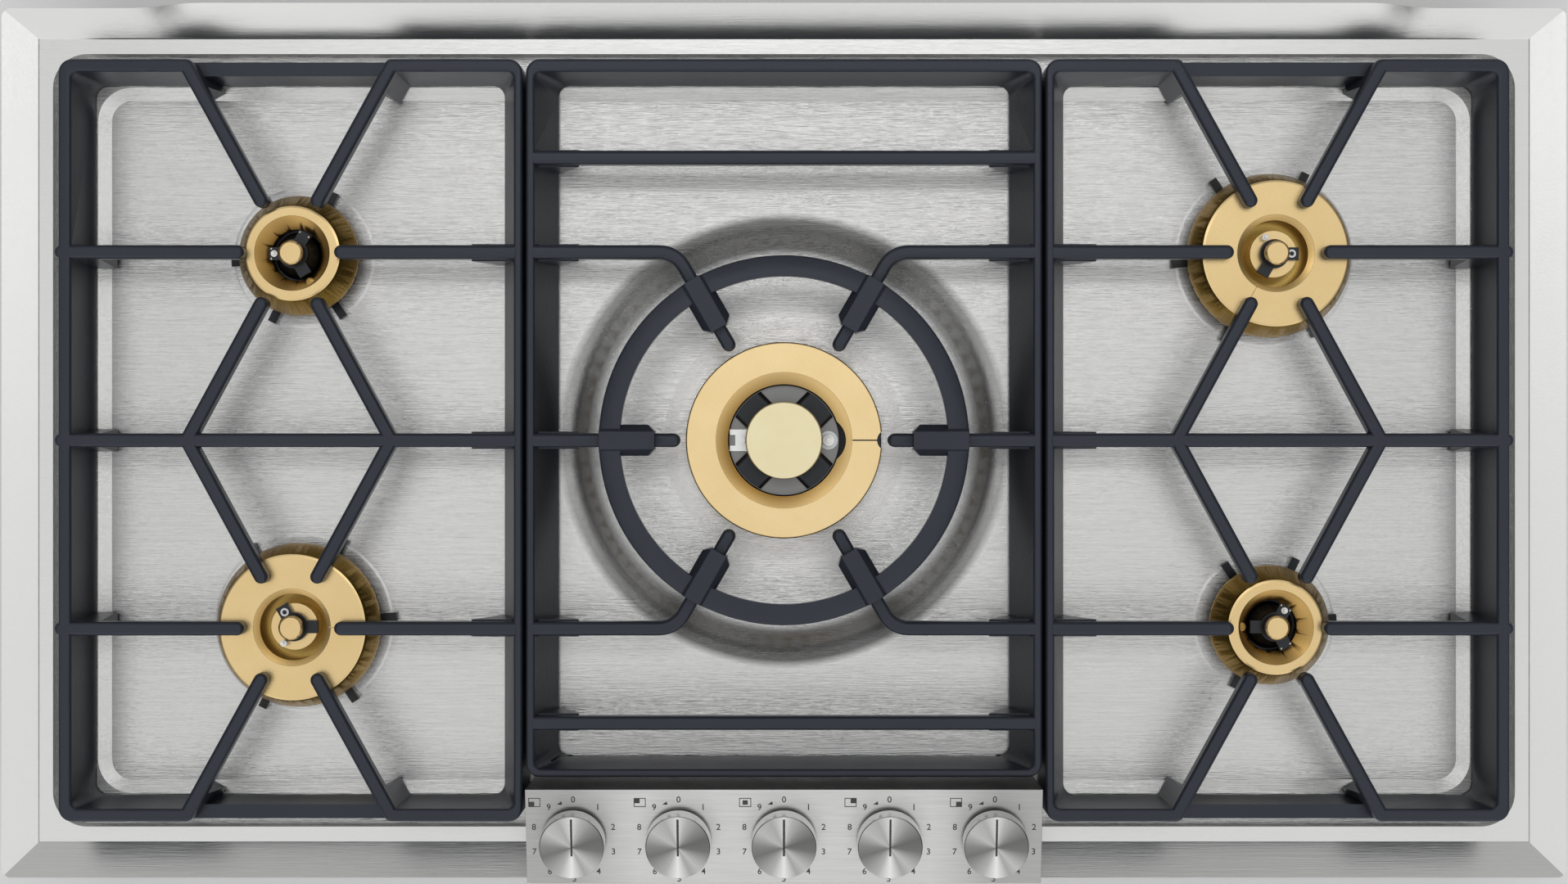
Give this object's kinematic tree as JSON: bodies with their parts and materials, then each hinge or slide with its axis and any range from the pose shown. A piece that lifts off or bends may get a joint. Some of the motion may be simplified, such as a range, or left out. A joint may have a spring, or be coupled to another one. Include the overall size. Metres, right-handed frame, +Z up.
{
  "type": "built-in gas cooktop",
  "caption": "Wide built-in gas cooktop: stainless tray, cast grates over brass burners, wok ring in the middle, sloping front panel with turning, pressing knobs.",
  "frame": {"origin": "middle of the underside of the casing, on the plane it would stand on", "axes": "+X to the right as the cook sees it, +Y to the rear, +Z up out of the worktop"},
  "size_m": [0.914, 0.508, 0.11],
  "materials": {
    "tray_steel": "stainless steel, brushed left to right",
    "panel_steel": "stainless steel, brushed left to right",
    "knob_steel": "spun stainless steel with a dark pointer groove",
    "cast_iron": "cast iron under matt black enamel",
    "black_rubber": "matt black rubber",
    "burner_brass": "turned solid brass",
    "wok_brass": "turned solid brass",
    "cap_brass": "pale turned brass",
    "fitting_brass": "machined brass",
    "black_enamel": "cast metal under matt black enamel",
    "zinc_steel": "zinc coated sheet steel",
    "plain_steel": "bright steel",
    "tube_aluminium": "drawn aluminium",
    "white_ceramic": null,
    "black_plastic": "matt black plastic"
  },
  "bodies": {
    "cooktop": {"bottom_casing": "zinc_steel", "burner_bridges": "black_enamel", "burner_cup_left_front": "black_enamel", "burner_cup_left_rear": "black_enamel", "burner_cup_right_front": "black_enamel", "burner_cup_right_rear": "black_enamel", "cable_gland": "black_plastic", "casing_screws": "plain_steel", "clamp_brackets": "zinc_steel", "clamp_screws": "plain_steel", "control_panel": "panel_steel", "flame_ring_left_front": "burner_brass", "flame_ring_left_rear": "burner_brass", "flame_ring_right_front": "burner_brass", "flame_ring_right_rear": "burner_brass", "gas_feed_pipe": "zinc_steel", "gas_inlet": "fitting_brass", "gas_manifold": "zinc_steel", "gas_tubes": "tube_aluminium", "grate_pads": "black_rubber", "igniters": "white_ceramic", "ignition_module": "black_plastic", "injectors": "fitting_brass", "inner_flame_rings": "burner_brass", "panel_bushes": "black_plastic", "rim_seal": "black_rubber", "switch_strip": "black_plastic", "tap_bodies": "fitting_brass", "terminal_box": "black_plastic", "top_tray": "tray_steel", "wok_bridge": "black_enamel", "wok_burner_cup": "black_enamel", "wok_flame_sensor": "plain_steel", "wok_plate": "plain_steel"},
    "grate_left": {"grate_left": "cast_iron"},
    "grate_right": {"grate_right": "cast_iron"},
    "grate_centre": {"grate_centre": "cast_iron"},
    "wok_ring": {"wok_ring": "cast_iron"},
    "wok_flame_ring": {"wok_flame_ring": "wok_brass"},
    "wok_cap": {"wok_cap": "cap_brass"},
    "burner_cap_left_front": {"burner_cap_left_front": "burner_brass"},
    "burner_cap_left_rear": {"burner_cap_left_rear": "burner_brass"},
    "burner_cap_right_rear": {"burner_cap_right_rear": "burner_brass"},
    "burner_cap_right_front": {"burner_cap_right_front": "burner_brass"},
    "tap_plug_1": {"tap_plug_1": "fitting_brass"},
    "knob_1": {"knob_1": "knob_steel", "spindle_1": "plain_steel"},
    "tap_plug_2": {"tap_plug_2": "fitting_brass"},
    "knob_2": {"knob_2": "knob_steel", "spindle_2": "plain_steel"},
    "tap_plug_3": {"tap_plug_3": "fitting_brass"},
    "knob_3": {"knob_3": "knob_steel", "spindle_3": "plain_steel"},
    "tap_plug_4": {"tap_plug_4": "fitting_brass"},
    "knob_4": {"knob_4": "knob_steel", "spindle_4": "plain_steel"},
    "tap_plug_5": {"tap_plug_5": "fitting_brass"},
    "knob_5": {"knob_5": "knob_steel", "spindle_5": "plain_steel"}
  },
  "joints": [
    {"name": "grate_left_lift", "type": "slide", "parent": "cooktop", "child": "grate_left", "axis": [0, 0, 1], "range_m": [0, 0.12]},
    {"name": "grate_right_lift", "type": "slide", "parent": "cooktop", "child": "grate_right", "axis": [0, 0, 1], "range_m": [0, 0.12]},
    {"name": "grate_centre_lift", "type": "slide", "parent": "cooktop", "child": "grate_centre", "axis": [0, 0, 1], "range_m": [0, 0.12]},
    {"name": "wok_ring_lift", "type": "slide", "parent": "grate_centre", "child": "wok_ring", "axis": [0, 0, 1], "range_m": [0, 0.06]},
    {"name": "wok_flame_ring_lift", "type": "slide", "parent": "cooktop", "child": "wok_flame_ring", "axis": [0, 0, 1], "range_m": [0, 0.06]},
    {"name": "wok_cap_lift", "type": "slide", "parent": "cooktop", "child": "wok_cap", "axis": [0, 0, 1], "range_m": [0, 0.06]},
    {"name": "burner_cap_left_front_lift", "type": "slide", "parent": "cooktop", "child": "burner_cap_left_front", "axis": [0, 0, 1], "range_m": [0, 0.05]},
    {"name": "burner_cap_left_rear_lift", "type": "slide", "parent": "cooktop", "child": "burner_cap_left_rear", "axis": [0, 0, 1], "range_m": [0, 0.05]},
    {"name": "burner_cap_right_rear_lift", "type": "slide", "parent": "cooktop", "child": "burner_cap_right_rear", "axis": [0, 0, 1], "range_m": [0, 0.05]},
    {"name": "burner_cap_right_front_lift", "type": "slide", "parent": "cooktop", "child": "burner_cap_right_front", "axis": [0, 0, 1], "range_m": [0, 0.05]},
    {"name": "knob_1_turn", "type": "hinge", "parent": "cooktop", "child": "tap_plug_1", "pos_m": [-0.1208, -0.2277, 0.09274], "axis": [0, -0.1773, 0.9842], "range_deg": [0, 324]},
    {"name": "knob_1_press", "type": "slide", "parent": "tap_plug_1", "child": "knob_1", "axis": [0, -0.1773, 0.9842], "range_m": [-0.003, 0], "stiffness_N_per_m": 1500, "springref_m": 0.002},
    {"name": "knob_2_turn", "type": "hinge", "parent": "cooktop", "child": "tap_plug_2", "pos_m": [-0.0604, -0.2277, 0.09274], "axis": [0, -0.1773, 0.9842], "range_deg": [0, 324]},
    {"name": "knob_2_press", "type": "slide", "parent": "tap_plug_2", "child": "knob_2", "axis": [0, -0.1773, 0.9842], "range_m": [-0.003, 0], "stiffness_N_per_m": 1500, "springref_m": 0.002},
    {"name": "knob_3_turn", "type": "hinge", "parent": "cooktop", "child": "tap_plug_3", "pos_m": [0, -0.2277, 0.09274], "axis": [0, -0.1773, 0.9842], "range_deg": [0, 324]},
    {"name": "knob_3_press", "type": "slide", "parent": "tap_plug_3", "child": "knob_3", "axis": [0, -0.1773, 0.9842], "range_m": [-0.003, 0], "stiffness_N_per_m": 1500, "springref_m": 0.002},
    {"name": "knob_4_turn", "type": "hinge", "parent": "cooktop", "child": "tap_plug_4", "pos_m": [0.0604, -0.2277, 0.09274], "axis": [0, -0.1773, 0.9842], "range_deg": [0, 324]},
    {"name": "knob_4_press", "type": "slide", "parent": "tap_plug_4", "child": "knob_4", "axis": [0, -0.1773, 0.9842], "range_m": [-0.003, 0], "stiffness_N_per_m": 1500, "springref_m": 0.002},
    {"name": "knob_5_turn", "type": "hinge", "parent": "cooktop", "child": "tap_plug_5", "pos_m": [0.1208, -0.2277, 0.09274], "axis": [0, -0.1773, 0.9842], "range_deg": [0, 324]},
    {"name": "knob_5_press", "type": "slide", "parent": "tap_plug_5", "child": "knob_5", "axis": [0, -0.1773, 0.9842], "range_m": [-0.003, 0], "stiffness_N_per_m": 1500, "springref_m": 0.002}
  ]
}
